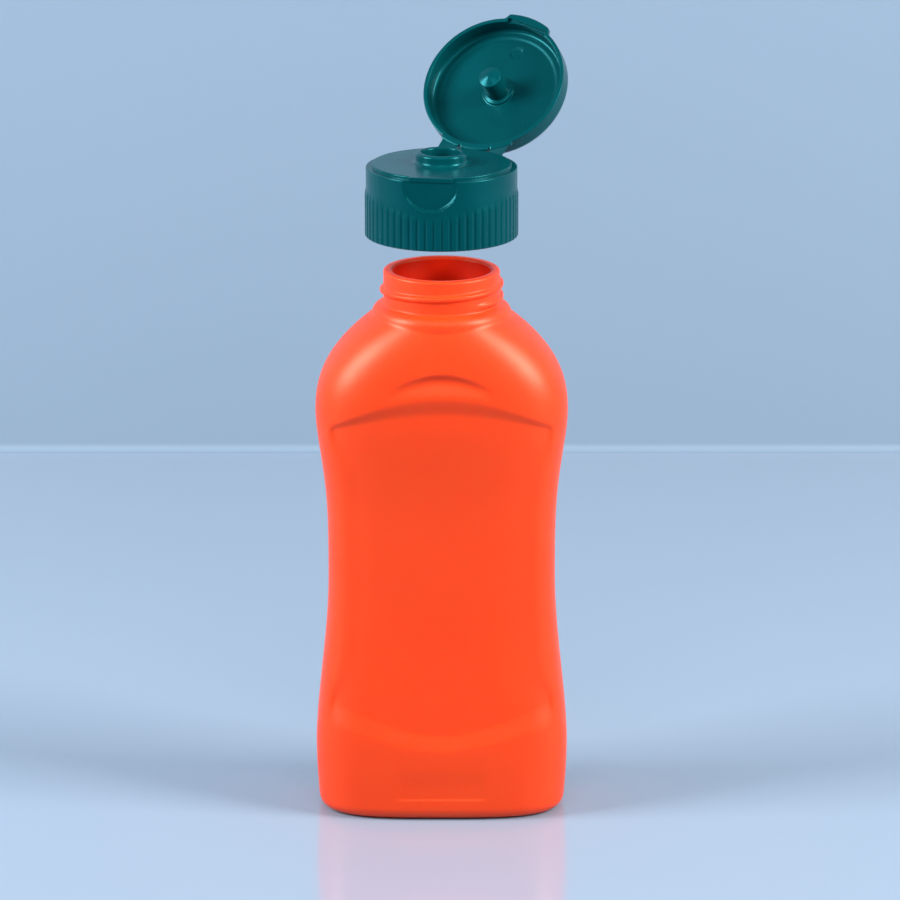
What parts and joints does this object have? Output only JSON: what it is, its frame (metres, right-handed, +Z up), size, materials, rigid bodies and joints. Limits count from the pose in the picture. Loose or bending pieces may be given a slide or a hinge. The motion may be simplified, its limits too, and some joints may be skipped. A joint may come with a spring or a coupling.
{
  "type": "squeeze bottle with flip-top cap",
  "caption": "Empty waisted plastic squeeze bottle with an oval body and a threaded neck, and its ribbed flip-top screw cap lifted off with the lid open.",
  "frame": {"origin": "middle of the face that the bottle stands on", "axes": "+Z up along the neck's axis, front face towards -Y, +X to the right seen from the front"},
  "size_m": [0.0767, 0.0784, 0.236],
  "materials": {
    "bottle": "satin, moulded",
    "closure": "satin, moulded"
  },
  "bodies": {
    "bottle": {"bottle": "bottle", "cap": "closure"},
    "lid": {"lid": "closure"}
  },
  "joints": [
    {"name": "lid_hinge", "type": "hinge", "parent": "bottle", "child": "lid", "pos_m": [0.00952, 0.02138, 0.19975], "axis": [0.9135, -0.4067, 0], "range_deg": [0, 130]}
  ]
}
